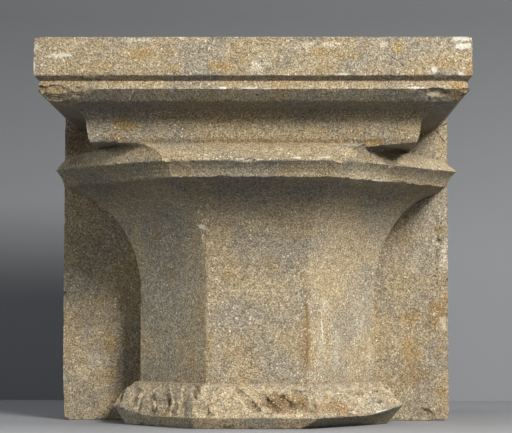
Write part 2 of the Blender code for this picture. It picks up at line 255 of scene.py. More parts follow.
# both beds and the back stay flat, and nothing stands out of the carved block
lowest, highest = (np.array(corner) for corner in cad_box)
worn[places[:, 2] < FLAT_MARGIN, 2] = 0.0
top_bed = (places[:, 2] > highest[2] - FLAT_MARGIN) & (normals[:, 2] > 0.9)
worn[top_bed, 2] = highest[2]
rear = (places[:, 1] > highest[1] - FLAT_MARGIN) & (normals[:, 1] > 0.9)
worn[rear, 1] = highest[1]
worn = np.clip(worn, lowest, highest)
dense.vertices.foreach_set("co", worn.ravel())
dense.update()

# the tints of the stone, and of the dirt and painted shade on it
BUFF = (0.388, 0.307, 0.188, 1.0)
DRAB = (0.312, 0.267, 0.196, 1.0)
FRESH = (0.50, 0.41, 0.27, 1.0)
SHELL = (0.68, 0.60, 0.44, 1.0)
LIME = (0.80, 0.75, 0.60, 1.0)
PIT = (0.09, 0.075, 0.05, 1.0)
# painted shade with some dirt: a cool darkening of the faces that look down
UNDERSIDE_DIRT_AND_SHADE = (0.53, 0.56, 0.62, 1.0)
# painted shade with brown dirt: a darkening near the inner creases
CREASE_DIRT_AND_SHADE = (0.95, 0.88, 0.80, 1.0)

# the tints of its marks
OCHRE = (0.355, 0.245, 0.110, 1.0)
RUST = (0.300, 0.200, 0.098, 1.0)
OLIVE = (0.290, 0.230, 0.125, 1.0)
BROWN = (0.160, 0.110, 0.060, 1.0)
UMBER = (0.215, 0.145, 0.088, 1.0)
TAN = (0.420, 0.340, 0.240, 1.0)
CREAM = (0.520, 0.430, 0.270, 1.0)
PALE = (0.540, 0.480, 0.360, 1.0)
WHITE = (0.700, 0.670, 0.580, 1.0)
SILVER = (0.410, 0.375, 0.285, 1.0)
GREY = (0.300, 0.275, 0.215, 1.0)
# painted shade: the dark grey of the crease beside the shaft
SHAFT_CREASE_SHADOW = (0.240, 0.210, 0.150, 1.0)
# painted shadow: the dark grey of the shade under the ledge's arris
ARRIS_SHADOW_GREY = (0.190, 0.185, 0.170, 1.0)
DARK = (0.045, 0.038, 0.030, 1.0)

# colour, centre, half size, turn in degrees, raggedness, softness, strength
# of each patch, stain, chip and pit that shows on this stone, and of a few painted shadows and one patch
# of painted light
stone_marks = (
    # Slab face, from left to right
    (WHITE, (-0.2021, -0.2000, 0.3945), (0.0162, 0.010, 0.0031), 6, 1.0, 0.4, 0.75),
    (PALE, (-0.1685, -0.2000, 0.3916), (0.0073, 0.010, 0.0021), 0, 1.2, 0.7, 0.45),
    (WHITE, (-0.2263, -0.2000, 0.4044), (0.0042, 0.020, 0.0052), 0, 1.2, 0.6, 0.45),
    (WHITE, (-0.2292, -0.2000, 0.3832), (0.0017, 0.020, 0.0073), 0, 0.6, 0.4, 0.80),
    (BROWN, (-0.2294, -0.2000, 0.3948), (0.0017, 0.020, 0.0027), 0, 0.8, 0.5, 0.55),
    (PALE, (-0.1854, -0.2000, 0.4049), (0.0073, 0.010, 0.0026), 0, 1.2, 0.7, 0.40),
    (PALE, (-0.1182, -0.2000, 0.4106), (0.0136, 0.010, 0.0027), 0, 1.2, 0.7, 0.50),
    (WHITE, (-0.0737, -0.2000, 0.4132), (0.0038, 0.020, 0.0016), 0, 0.7, 0.4, 0.85),
    (WHITE, (-0.0166, -0.2000, 0.4133), (0.0014, 0.020, 0.0010), 0, 0.4, 0.4, 0.90),
    (OCHRE, (-0.1171, -0.2000, 0.3958), (0.0199, 0.010, 0.0068), 0, 0.8, 0.9, 0.70),
    (OCHRE, (-0.0878, -0.2000, 0.3969), (0.0136, 0.010, 0.0052), 0, 0.8, 0.9, 0.50),
    (OCHRE, (-0.0856, -0.2000, 0.3810), (0.0105, 0.010, 0.0047), 0, 0.8, 0.9, 0.60),
    (OCHRE, (-0.1600, -0.2000, 0.3832), (0.0168, 0.010, 0.0063), 0, 0.8, 0.9, 0.35),
    (OCHRE, (-0.0364, -0.2000, 0.3826), (0.0126, 0.010, 0.0052), 0, 0.8, 0.9, 0.75),
    (OCHRE, (-0.0134, -0.2000, 0.3947), (0.0136, 0.010, 0.0126), 0, 0.8, 0.9, 0.30),
    (GREY, (-0.0417, -0.2000, 0.4074), (0.0094, 0.010, 0.0047), 0, 1.0, 0.8, 0.40),
    (GREY, (-0.0594, -0.2000, 0.3831), (0.0115, 0.010, 0.0058), 0, 1.0, 0.8, 0.35),
    (GREY, (-0.0805, -0.2000, 0.4074), (0.0126, 0.010, 0.0042), 0, 1.0, 0.8, 0.25),
    (PALE, (-0.0882, -0.2000, 0.3900), (0.0018, 0.010, 0.0012), 0, 0.5, 0.4, 0.90),
    (PALE, (-0.0842, -0.2000, 0.3831), (0.0013, 0.010, 0.0010), 0, 0.5, 0.4, 0.90),
    (PALE, (-0.1059, -0.2000, 0.3847), (0.0013, 0.010, 0.0009), 0, 0.5, 0.4, 0.90),
    (DARK, (-0.0479, -0.2000, 0.3826), (0.0007, 0.010, 0.0036), 20, 0.5, 0.5, 0.70),
    (DARK, (-0.0176, -0.2000, 0.3873), (0.0007, 0.010, 0.0044), 15, 0.5, 0.5, 0.60),
    (PALE, (0.0055, -0.2000, 0.3831), (0.0105, 0.010, 0.0073), 0, 1.2, 0.8, 0.55),
    (DARK, (0.0096, -0.2000, 0.3884), (0.0009, 0.010, 0.0033), 35, 0.7, 0.5, 0.65),
    (DARK, (0.0149, -0.2000, 0.3810), (0.0008, 0.010, 0.0027), 10, 0.7, 0.5, 0.60),
    (PALE, (0.0588, -0.2000, 0.4068), (0.0126, 0.010, 0.0025), 0, 1.3, 0.7, 0.60),
    (PALE, (0.0891, -0.2000, 0.4068), (0.0126, 0.010, 0.0027), 0, 1.3, 0.7, 0.60),
    (PALE, (0.1111, -0.2000, 0.4099), (0.0094, 0.010, 0.0023), 0, 1.3, 0.7, 0.65),
    (DARK, (0.0494, -0.2000, 0.4068), (0.0013, 0.010, 0.0013), 0, 0.9, 0.5, 0.75),
    (DARK, (0.0588, -0.2000, 0.4084), (0.0016, 0.010, 0.0010), 0, 0.9, 0.5, 0.75),
    (DARK, (0.0682, -0.2000, 0.4065), (0.0013, 0.010, 0.0015), 0, 0.9, 0.5, 0.70),
    (DARK, (0.0808, -0.2000, 0.4078), (0.0015, 0.010, 0.0010), 0, 0.9, 0.5, 0.75),
    (DARK, (0.0870, -0.2000, 0.4057), (0.0013, 0.010, 0.0010), 0, 0.9, 0.5, 0.70),
    (DARK, (0.0944, -0.2000, 0.4052), (0.0013, 0.010, 0.0013), 0, 0.9, 0.5, 0.75),
    (DARK, (0.1038, -0.2000, 0.4083), (0.0013, 0.010, 0.0009), 0, 0.9, 0.5, 0.65),
    (OCHRE, (0.0682, -0.2000, 0.3989), (0.0084, 0.010, 0.0052), 0, 0.8, 0.9, 0.45),
    (OCHRE, (0.0985, -0.2000, 0.3946), (0.0125, 0.010, 0.0073), 0, 0.8, 0.9, 0.50),
    (OCHRE, (0.0755, -0.2000, 0.3809), (0.0105, 0.010, 0.0052), 0, 0.8, 0.9, 0.35),
    (OCHRE, (0.1226, -0.2000, 0.4052), (0.0052, 0.010, 0.0042), 0, 0.8, 0.9, 0.35),
    (OCHRE, (0.1518, -0.2000, 0.4014), (0.0063, 0.010, 0.0063), 0, 0.8, 0.8, 0.80),
    (OCHRE, (0.1998, -0.2000, 0.3861), (0.0125, 0.010, 0.0068), 0, 0.8, 0.9, 0.50),
    (RUST, (0.2258, -0.2000, 0.3809), (0.0042, 0.020, 0.0068), 0, 0.8, 0.8, 0.65),
    (PALE, (0.1341, -0.2000, 0.4067), (0.0084, 0.010, 0.0037), 0, 1.2, 0.7, 0.45),
    (GREY, (0.1706, -0.2000, 0.3977), (0.0105, 0.010, 0.0084), 0, 1.0, 0.9, 0.30),
    (GREY, (0.1403, -0.2000, 0.3983), (0.0037, 0.010, 0.0031), 0, 1.0, 0.7, 0.45),
    (DARK, (0.1424, -0.2000, 0.4057), (0.0007, 0.010, 0.0078), -15, 0.5, 0.5, 0.45),
    (DARK, (0.1474, -0.2000, 0.3914), (0.0059, 0.010, 0.0008), -32, 0.4, 0.5, 0.95),
    (DARK, (0.1563, -0.2000, 0.3843), (0.0040, 0.010, 0.0009), -44, 0.4, 0.5, 0.98),
    (WHITE, (0.2187, -0.2000, 0.4118), (0.0125, 0.020, 0.0033), 0, 0.9, 0.4, 0.85),
    (WHITE, (0.2207, -0.2000, 0.4042), (0.0089, 0.020, 0.0038), 0, 0.8, 0.3, 0.95),
    (WHITE, (0.2129, -0.2000, 0.3961), (0.0019, 0.010, 0.0019), 0, 0.8, 0.5, 0.55),
    (WHITE, (0.0948, -0.2000, 0.3746), (0.0073, 0.010, 0.0011), 0, 0.7, 0.3, 0.95),
    (WHITE, (0.1898, -0.2000, 0.3793), (0.0046, 0.010, 0.0036), 20, 1.0, 0.5, 0.75),
    (WHITE, (0.2179, -0.2000, 0.3743), (0.0052, 0.010, 0.0020), -15, 0.7, 0.4, 0.90),
    (WHITE, (0.1637, -0.2000, 0.3730), (0.0016, 0.010, 0.0008), 0, 0.5, 0.4, 0.80),
    # Second moulding
    (CREAM, (-0.1738, -0.1971, 0.3588), (0.0055, 0.020, 0.0048), -15, 0.8, 0.4, 0.85),
    (RUST, (-0.2109, -0.1938, 0.3567), (0.0147, 0.020, 0.0089), 0, 0.8, 0.8, 0.40),
    (BROWN, (-0.2039, -0.1915, 0.3527), (0.0074, 0.020, 0.0047), 25, 1.0, 0.7, 0.45),
    (WHITE, (-0.1293, -0.1895, 0.3509), (0.0024, 0.010, 0.0009), 62, 0.5, 0.4, 0.95),
    (WHITE, (-0.1254, -0.1963, 0.3573), (0.0019, 0.010, 0.0008), 60, 0.6, 0.4, 0.80),
    (WHITE, (-0.0306, -0.1979, 0.3600), (0.0044, 0.010, 0.0018), -5, 0.8, 0.3, 1.00),
    (WHITE, (-0.0050, -0.1978, 0.3602), (0.0126, 0.010, 0.0009), 0, 1.0, 0.5, 0.75),
    (WHITE, (0.0159, -0.1981, 0.3591), (0.0094, 0.010, 0.0013), 0, 1.1, 0.5, 0.70),
    (WHITE, (0.1706, -0.1976, 0.3606), (0.0099, 0.010, 0.0013), 0, 0.8, 0.4, 0.90),
    (DARK, (0.0044, -0.1928, 0.3540), (0.0014, 0.010, 0.0013), 0, 0.5, 0.5, 0.80),
    (DARK, (0.0191, -0.1891, 0.3505), (0.0012, 0.010, 0.0009), 0, 0.5, 0.5, 0.80),
    (DARK, (-0.0670, -0.1934, 0.3546), (0.0008, 0.010, 0.0008), 0, 0.5, 0.5, 0.60),
    (PALE, (0.1921, -0.1911, 0.3542), (0.0115, 0.020, 0.0058), 10, 1.0, 0.6, 0.75),
    (RUST, (0.2150, -0.1923, 0.3535), (0.0094, 0.020, 0.0058), 0, 0.8, 0.7, 0.60),
    (OCHRE, (0.2178, -0.1963, 0.3630), (0.0105, 0.020, 0.0029), 0, 0.8, 0.7, 0.65),
    (WHITE, (0.2251, -0.1959, 0.3594), (0.0031, 0.020, 0.0013), 20, 0.7, 0.4, 0.70),
    # Hollow, and the wall beside it
    (OCHRE, (-0.1380, -0.1502, 0.3260), (0.0161, 0.020, 0.0075), 0, 0.8, 0.9, 0.75),
    (RUST, (-0.1478, -0.1485, 0.3154), (0.0097, 0.020, 0.0065), 0, 0.8, 0.9, 0.50),
    (GREY, (-0.1208, -0.1494, 0.3207), (0.0054, 0.020, 0.0059), 0, 0.9, 0.8, 0.35),
    (OCHRE, (0.0726, -0.1494, 0.3207), (0.0043, 0.020, 0.0043), 0, 0.8, 0.8, 0.45),
    (OCHRE, (0.1307, -0.1464, 0.3097), (0.0118, 0.020, 0.0045), 4, 0.9, 0.8, 0.65),
    (UMBER, (-0.2176, 0.0600, 0.3368), (0.0156, 0.020, 0.0205), 0, 0.8, 0.9, 0.60),
    (GREY, (0.1981, 0.0600, 0.3284), (0.0090, 0.020, 0.0090), 0, 0.8, 0.5, 0.45),
    (RUST, (0.2005, 0.0600, 0.3338), (0.0066, 0.020, 0.0014), 10, 0.7, 0.5, 0.60),
    (DARK, (0.2181, 0.0600, 0.3426), (0.0038, 0.020, 0.0011), -60, 0.4, 0.5, 0.90),
    (DARK, (0.2235, 0.0600, 0.3354), (0.0055, 0.020, 0.0010), -45, 0.4, 0.5, 0.95),
    (DARK, (0.2168, 0.0600, 0.3448), (0.0031, 0.020, 0.0011), -15, 0.5, 0.5, 0.90),
    (DARK, (0.2264, 0.0600, 0.3530), (0.0053, 0.020, 0.0013), 35, 0.5, 0.5, 0.95),
    (DARK, (0.2215, 0.0600, 0.3393), (0.0010, 0.020, 0.0038), 10, 0.5, 0.5, 0.60),
    # painted light: a pale patch that lightens the right of the crown where the slab's shadow falls on it
    (CREAM, (0.2035, -0.0337, 0.3010), (0.0183, 0.040, 0.0080), 0, 0.9, 0.9, 0.25),
    # Ledge
    (CREAM, (0.1150, -0.1150, 0.2780), (0.0330, 0.060, 0.0120), -4, 0.8, 0.8, 0.75),
    (UMBER, (-0.1992, -0.0694, 0.2973), (0.0135, 0.040, 0.0073), 8, 0.8, 0.9, 0.55),
    # painted shadow: two thin dark bands just under the ledge's arris, at its front and right, for the
    # shade of its overhang
    (ARRIS_SHADOW_GREY, (0.1629, -0.1021, 0.2883), (0.0583, 0.080, 0.0022), -6, 0.6, 0.8, 0.55),
    (ARRIS_SHADOW_GREY, (0.0031, -0.1676, 0.2846), (0.0892, 0.020, 0.0022), 0, 0.6, 0.8, 0.50),
    (CREAM, (-0.0916, -0.1658, 0.2936), (0.0053, 0.020, 0.0048), 0, 1.0, 0.6, 0.60),
    (WHITE, (-0.0996, -0.1649, 0.2878), (0.0012, 0.020, 0.0009), 0, 0.4, 0.4, 0.95),
    (PALE, (-0.0905, -0.1663, 0.2888), (0.0058, 0.020, 0.0017), 5, 0.9, 0.5, 0.75),
    (DARK, (-0.0927, -0.1654, 0.2942), (0.0010, 0.020, 0.0010), 0, 0.6, 0.5, 0.80),
    (DARK, (-0.0876, -0.1625, 0.2977), (0.0010, 0.020, 0.0009), 0, 0.6, 0.5, 0.70),
    (WHITE, (-0.0489, -0.1686, 0.2891), (0.0042, 0.020, 0.0013), 0, 1.0, 0.5, 0.60),
    (WHITE, (-0.0139, -0.1688, 0.2887), (0.0058, 0.020, 0.0013), -5, 1.0, 0.4, 0.85),
    (WHITE, (-0.0033, -0.1677, 0.2878), (0.0042, 0.020, 0.0012), 5, 1.0, 0.4, 0.80),
    (WHITE, (0.0063, -0.1691, 0.2882), (0.0037, 0.020, 0.0011), 0, 1.0, 0.4, 0.75),
    (WHITE, (0.0466, -0.1681, 0.2900), (0.0072, 0.020, 0.0014), 0, 0.9, 0.4, 0.90),
    (WHITE, (0.0731, -0.1679, 0.2904), (0.0127, 0.020, 0.0012), 2, 1.2, 0.5, 0.60),
    (CREAM, (0.0977, -0.1636, 0.2965), (0.0085, 0.020, 0.0064), -10, 1.1, 0.7, 0.65),
    (PALE, (0.1078, -0.1525, 0.3054), (0.0171, 0.020, 0.0011), -5, 0.8, 0.6, 0.65),
    (RUST, (0.1235, -0.1397, 0.2909), (0.0075, 0.030, 0.0043), -10, 0.9, 0.8, 0.40),
    (WHITE, (0.1353, -0.1117, 0.2703), (0.0074, 0.020, 0.0010), -2, 0.8, 0.4, 0.90),
    # Bell and shaft
    (TAN, (0.1355, -0.0899, 0.2647), (0.0091, 0.020, 0.0013), -10, 0.6, 0.5, 0.70),
    (PALE, (0.1572, -0.0147, 0.2335), (0.0053, 0.020, 0.0009), 62, 0.6, 0.5, 0.75),
    (PALE, (0.1523, -0.0153, 0.2294), (0.0030, 0.020, 0.0008), -50, 0.6, 0.5, 0.70),
    (PALE, (0.0955, -0.0628, 0.2186), (0.0022, 0.020, 0.0052), -12, 0.8, 0.6, 0.50),
    (WHITE, (-0.0576, -0.0946, 0.2211), (0.0035, 0.020, 0.0029), -20, 1.0, 0.4, 0.90),
    (PALE, (-0.0530, -0.0927, 0.2179), (0.0031, 0.020, 0.0017), -20, 1.0, 0.5, 0.70),
    (DARK, (-0.0542, -0.0908, 0.2142), (0.0011, 0.020, 0.0033), 0, 0.5, 0.5, 0.50),
    (BROWN, (-0.0538, -0.0831, 0.1957), (0.0012, 0.020, 0.0178), 0, 0.5, 0.7, 0.45),
    (PALE, (-0.1599, -0.0188, 0.2423), (0.0109, 0.030, 0.0007), -50, 0.6, 0.6, 0.40),
    (PALE, (-0.1500, 0.0600, 0.2092), (0.0210, 0.030, 0.0007), -66, 0.6, 0.6, 0.40),
    (RUST, (-0.1135, -0.0365, 0.2137), (0.0080, 0.030, 0.0114), 0, 0.8, 0.9, 0.35),
    (RUST, (-0.0951, -0.0353, 0.1659), (0.0068, 0.030, 0.0125), -20, 0.7, 0.9, 0.45),
    (OCHRE, (-0.0279, -0.0775, 0.1715), (0.0111, 0.030, 0.0100), 0, 0.7, 0.9, 0.45),
    (OCHRE, (0.0177, -0.0795, 0.1826), (0.0156, 0.030, 0.0089), 0, 0.7, 0.9, 0.30),
    (OCHRE, (-0.0155, -0.0760, 0.0906), (0.0244, 0.030, 0.0222), 0, 0.7, 0.9, 0.22),
    (OCHRE, (-0.0505, -0.0760, 0.0894), (0.0029, 0.020, 0.0178), 0, 0.6, 0.9, 0.50),
    (PALE, (-0.0045, -0.0760, 0.1515), (0.0445, 0.020, 0.0008), 0, 1.3, 0.5, 0.55),
    (PALE, (-0.0133, -0.0760, 0.1096), (0.0244, 0.020, 0.0009), -2, 1.5, 0.5, 0.55),
    (RUST, (0.0588, -0.0760, 0.1073), (0.0050, 0.020, 0.0510), 0, 0.6, 0.9, 0.55),
    (BROWN, (0.0588, -0.0760, 0.1217), (0.0014, 0.020, 0.0144), 0, 0.5, 0.6, 0.80),
    (BROWN, (0.0591, -0.0760, 0.0851), (0.0019, 0.020, 0.0222), 0, 0.5, 0.6, 0.85),
    (RUST, (0.0582, -0.0760, 0.0885), (0.0072, 0.020, 0.0166), 0, 0.6, 0.9, 0.50),
    (PALE, (0.0551, -0.0760, 0.1080), (0.0049, 0.020, 0.0009), 28, 0.5, 0.5, 0.90),
    (PALE, (0.0627, -0.0726, 0.1064), (0.0049, 0.020, 0.0009), -42, 0.5, 0.5, 0.90),
    (WHITE, (0.0761, -0.0592, 0.1084), (0.0010, 0.020, 0.0162), 4, 0.6, 0.5, 0.80),
    (WHITE, (0.0787, -0.0566, 0.0927), (0.0025, 0.020, 0.0010), 10, 0.6, 0.5, 0.70),
    (PALE, (0.0805, -0.0548, 0.1308), (0.0062, 0.020, 0.0084), 0, 1.3, 0.8, 0.45),
    (SILVER, (0.0921, -0.0432, 0.0903), (0.0051, 0.020, 0.0226), 0, 1.0, 0.9, 0.50),
    (SILVER, (0.0736, -0.0617, 0.0849), (0.0078, 0.020, 0.0246), 0, 1.0, 0.9, 0.30),
    (PALE, (0.1309, -0.0044, 0.0796), (0.0021, 0.020, 0.0230), 0, 1.2, 0.7, 0.45),
    (SILVER, (0.1219, -0.0134, 0.1209), (0.0057, 0.030, 0.0298), 0, 1.1, 0.9, 0.35),
    (DARK, (-0.0786, -0.0507, 0.0565), (0.0034, 0.020, 0.0007), 0, 0.4, 0.5, 0.55),
    (DARK, (-0.0754, -0.0539, 0.0537), (0.0007, 0.020, 0.0029), 0, 0.4, 0.5, 0.60),
    (DARK, (-0.0802, -0.0491, 0.0520), (0.0025, 0.020, 0.0007), 20, 0.4, 0.5, 0.50),
    (DARK, (0.1481, 0.0600, 0.0719), (0.0026, 0.030, 0.0017), -30, 0.9, 0.6, 0.50),
    # Broken ring
    (OCHRE, (0.0250, -0.1063, 0.0265), (0.0240, 0.040, 0.0090), -4, 0.7, 0.8, 0.55),
    (RUST, (0.0700, -0.0980, 0.0200), (0.0090, 0.040, 0.0050), 0, 0.8, 0.8, 0.45),
    (GREY, (-0.1050, -0.0400, 0.0330), (0.0180, 0.050, 0.0090), 0, 0.9, 0.9, 0.45),
    (RUST, (0.0310, -0.1046, 0.0280), (0.0272, 0.040, 0.0109), 0, 0.9, 0.8, 0.75),
    (BROWN, (0.0245, -0.1063, 0.0259), (0.0098, 0.040, 0.0049), -10, 1.1, 0.8, 0.50),
    (BROWN, (0.0462, -0.1063, 0.0238), (0.0076, 0.040, 0.0044), -15, 1.1, 0.8, 0.45),
    (RUST, (0.0903, -0.0896, 0.0230), (0.0154, 0.040, 0.0088), -20, 0.9, 0.8, 0.65),
    (PALE, (0.0266, -0.1098, 0.0146), (0.0163, 0.030, 0.0017), 0, 1.1, 0.5, 0.85),
    (SILVER, (0.1314, -0.0422, 0.0275), (0.0101, 0.040, 0.0073), -15, 0.9, 0.7, 0.50),
    (WHITE, (0.1427, -0.0418, 0.0157), (0.0146, 0.040, 0.0020), 8, 0.9, 0.5, 0.75),
    (WHITE, (0.1557, -0.0169, 0.0354), (0.0137, 0.050, 0.0009), -25, 0.6, 0.5, 0.75),
    (WHITE, (0.1613, -0.0176, 0.0275), (0.0080, 0.050, 0.0009), -35, 0.6, 0.5, 0.65),
    (DARK, (0.0540, -0.0942, 0.0401), (0.0071, 0.020, 0.0013), 5, 0.8, 0.5, 0.75),
    (DARK, (0.0321, -0.1010, 0.0365), (0.0044, 0.030, 0.0009), -38, 0.6, 0.5, 0.70),
    (PALE, (0.0157, -0.0907, 0.0412), (0.0154, 0.020, 0.0010), -2, 0.8, 0.5, 0.70),
    (PALE, (0.1039, -0.0544, 0.0405), (0.0179, 0.020, 0.0009), 2, 0.9, 0.5, 0.65),
    (DARK, (0.1074, -0.0764, 0.0147), (0.0044, 0.040, 0.0011), 20, 0.7, 0.5, 0.60),
    # Wall to the right and left of the shaft
    # painted shade: a dark patch on the wall in the crease beside the shaft's right side
    (SHAFT_CREASE_SHADOW, (0.1484, 0.0600, 0.1641), (0.0084, 0.020, 0.0191), 0, 0.9, 0.8, 0.55),
    (OCHRE, (0.1828, 0.0600, 0.1236), (0.0143, 0.020, 0.0119), 0, 0.8, 0.9, 0.60),
    (OCHRE, (0.1850, 0.0600, 0.0856), (0.0119, 0.020, 0.0167), 0, 0.8, 0.9, 0.60),
    (OCHRE, (0.2209, 0.0600, 0.1261), (0.0095, 0.020, 0.0119), 0, 0.8, 0.9, 0.50),
    (OCHRE, (0.2269, 0.0600, 0.1427), (0.0048, 0.020, 0.0107), 0, 0.8, 0.8, 0.45),
    (OCHRE, (0.1784, 0.0600, 0.2143), (0.0096, 0.020, 0.0120), 0, 0.8, 0.9, 0.30),
    (PALE, (0.2261, 0.0600, 0.2000), (0.0060, 0.020, 0.0191), 0, 1.1, 0.7, 0.55),
    (PALE, (0.2262, 0.0600, 0.1154), (0.0054, 0.020, 0.0101), 10, 0.6, 0.3, 0.70),
    (DARK, (0.2215, 0.0600, 0.2347), (0.0014, 0.020, 0.0019), 0, 0.7, 0.5, 0.85),
    (DARK, (0.2203, 0.0600, 0.2287), (0.0012, 0.020, 0.0014), 0, 0.7, 0.5, 0.80),
    (DARK, (0.2190, 0.0600, 0.2143), (0.0017, 0.020, 0.0022), 20, 0.8, 0.5, 0.85),
    (DARK, (0.2154, 0.0600, 0.2060), (0.0012, 0.020, 0.0019), 0, 0.8, 0.5, 0.80),
    (DARK, (0.2165, 0.0600, 0.1976), (0.0010, 0.020, 0.0055), 0, 0.8, 0.5, 0.75),
    (DARK, (0.2214, 0.0600, 0.2095), (0.0011, 0.020, 0.0017), 0, 0.8, 0.5, 0.70),
    (RUST, (-0.1425, 0.0600, 0.0637), (0.0048, 0.020, 0.0083), 0, 0.8, 0.9, 0.50),
    (PALE, (-0.1755, 0.0600, 0.1805), (0.0054, 0.020, 0.0031), 10, 1.1, 0.6, 0.55),
    (RUST, (-0.2067, 0.0600, 0.1781), (0.0084, 0.020, 0.0072), 0, 0.8, 0.9, 0.40),
    (OCHRE, (-0.1725, 0.0600, 0.0922), (0.0084, 0.020, 0.0167), 0, 0.8, 0.9, 0.55),
    (OCHRE, (-0.1722, 0.0600, 0.0542), (0.0083, 0.020, 0.0095), 0, 0.8, 0.9, 0.50),
    (CREAM, (-0.2093, 0.0600, 0.0577), (0.0095, 0.020, 0.0095), 0, 0.9, 0.9, 0.40),
    (SILVER, (-0.1927, 0.0600, 0.0731), (0.0095, 0.020, 0.0107), 0, 0.9, 0.9, 0.45),
    (PALE, (-0.2289, 0.0600, 0.0493), (0.0024, 0.020, 0.0060), 0, 0.9, 0.6, 0.60),
    (PALE, (-0.2297, 0.0600, 0.1422), (0.0017, 0.020, 0.0072), 0, 0.9, 0.6, 0.50),
    (DARK, (-0.2281, 0.0658, 0.1515), (0.0036, 0.020, 0.0011), 5, 0.6, 0.5, 0.85),
    (OLIVE, (0.1734, 0.0600, 0.1653), (0.0131, 0.020, 0.0131), 0, 0.8, 0.9, 0.45),
    (RUST, (0.1931, 0.0600, 0.0548), (0.0226, 0.020, 0.0166), 0, 0.8, 0.9, 0.45),
    (RUST, (0.2150, 0.0600, 0.1332), (0.0107, 0.020, 0.0107), 0, 0.8, 0.8, 0.60),
    (RUST, (0.2101, 0.0600, 0.1165), (0.0071, 0.020, 0.0095), 0, 0.8, 0.8, 0.45),
    (OCHRE, (0.2191, 0.0600, 0.0348), (0.0083, 0.020, 0.0083), 0, 0.8, 0.9, 0.50),
    (RUST, (0.2206, 0.0600, 0.0821), (0.0071, 0.020, 0.0071), 0, 0.8, 0.9, 0.45),
    (PALE, (0.2253, 0.0600, 0.0774), (0.0019, 0.020, 0.0059), -25, 0.7, 0.5, 0.65),
    (PALE, (0.1672, 0.0600, 0.0927), (0.0019, 0.020, 0.0089), 5, 0.7, 0.5, 0.60),
    (PALE, (0.2133, 0.0600, 0.1505), (0.0031, 0.020, 0.0029), 0, 0.9, 0.5, 0.75),
    (DARK, (0.2147, 0.0600, 0.1880), (0.0011, 0.020, 0.0021), 20, 0.8, 0.5, 0.80),
    (DARK, (0.2164, 0.0600, 0.1797), (0.0014, 0.020, 0.0017), 0, 0.8, 0.5, 0.80),
    (DARK, (0.2140, 0.0600, 0.1713), (0.0011, 0.020, 0.0021), -20, 0.8, 0.5, 0.80),
    (DARK, (0.2163, 0.0600, 0.1630), (0.0016, 0.020, 0.0014), 0, 0.8, 0.5, 0.75),
    (DARK, (0.2223, 0.0600, 0.1689), (0.0014, 0.020, 0.0011), 30, 0.8, 0.5, 0.75),
    (DARK, (0.2283, 0.0600, 0.1678), (0.0019, 0.020, 0.0024), 30, 0.8, 0.5, 0.85),
    (DARK, (0.2077, 0.0600, 0.1165), (0.0010, 0.020, 0.0019), 0, 0.8, 0.5, 0.80),
    (DARK, (0.2065, 0.0600, 0.1046), (0.0010, 0.020, 0.0019), 0, 0.8, 0.5, 0.80),
    (DARK, (0.2089, 0.0600, 0.1106), (0.0008, 0.020, 0.0014), 0, 0.8, 0.5, 0.70),
    (SILVER, (0.1926, 0.0600, 0.1868), (0.0072, 0.020, 0.0096), 0, 0.9, 0.9, 0.40),
    (DARK, (0.2005, 0.0612, 0.0130), (0.0078, 0.020, 0.0008), -32, 0.4, 0.5, 0.90),
    (BROWN, (0.1965, 0.0607, 0.0075), (0.0043, 0.020, 0.0031), 0, 1.2, 0.5, 0.70),
)


# which marks are broad, stains and painted shade and light alike, and how much wider and stronger those
# are laid
SOFT_FROM = 0.7
SOFT_HALF_SIZE = 0.0025
SOFT_MARK_SPREAD = 1.25
SOFT_MARK_STRENGTH = 1.4
SOFT_MARK_EDGE = 0.75


def is_soft(mark):
    """True for the broad cloudy stains and the broad painted shade and light, which the points of the mesh
    are close enough to carry.
    """
    half_size, softness = mark[2], mark[5]
    return softness >= SOFT_FROM and min(half_size[0], half_size[2]) >= SOFT_HALF_SIZE


def soft_stains_and_painted_light(places):
    """Colour and cover of the broad stains, painted shade and painted light at each point, each laid over
    the ones before it.
    """
    rag = 0.50 * lumps(places, 0.0110, 10) + 0.30 * lumps(places, 0.0045, 11)
    colours = np.zeros((len(places), 3))
    cover = np.zeros(len(places))
    for tint, centre, half_size, turn, raggedness, softness, strength in filter(is_soft, stone_marks):
        away = places - centre
        cos, sin = math.cos(math.radians(turn)), math.sin(math.radians(turn))
        turned = (away[:, 0] * cos + away[:, 2] * sin, away[:, 1], away[:, 2] * cos - away[:, 0] * sin)
        reach = np.linalg.norm(np.stack(turned, axis=1) / half_size, axis=1) / SOFT_MARK_SPREAD
        reach = reach + raggedness * rag
        share = min(1.0, SOFT_MARK_STRENGTH * strength) * ramp(1.0 - reach, 0.0, SOFT_MARK_EDGE * softness)
        colours += (np.array(tint[:3]) - colours) * share[:, None]
        cover += (1.0 - cover) * share
    return colours, cover


CREASE_REACH = 0.0030

stone_mesh = with_modifier(dense, "DECIMATE", ratio=TRIANGLES / (2.0 * len(dense.polygons)))
stone_mesh.name = "stone"
places = read_places(stone_mesh)
# how far each point faces down and how near it lies to a crease, which the painted shade and dirt follow,
# and where the stone broke
facing_down = np.array([-carved_faces.find_nearest(place)[1].z for place in places])
shades = {"crease": np.exp(-distances(creases, places) / CREASE_REACH),
          "broken": broken_share(places),
          "under": ramp(facing_down, 0.30, 0.95)}
for name, values in shades.items():
    layer = stone_mesh.attributes.new(name, "FLOAT", "POINT")
    layer.data.foreach_set("value", values)
stains_and_painted_light, stain_and_painted_light_cover = soft_stains_and_painted_light(places)
stone_mesh.attributes.new("stain_and_painted_light_cover", "FLOAT", "POINT").data.foreach_set("value", stain_and_painted_light_cover)
stone_mesh.attributes.new("stains_and_painted_light", "FLOAT_VECTOR", "POINT").data.foreach_set("vector", stains_and_painted_light.ravel())
stone_mesh.polygons.foreach_set("use_smooth", [True] * len(stone_mesh.polygons))
stone_mesh.set_sharp_from_angle(angle=CRISP_TURN)
stone = bpy.data.objects.new("stone", stone_mesh)
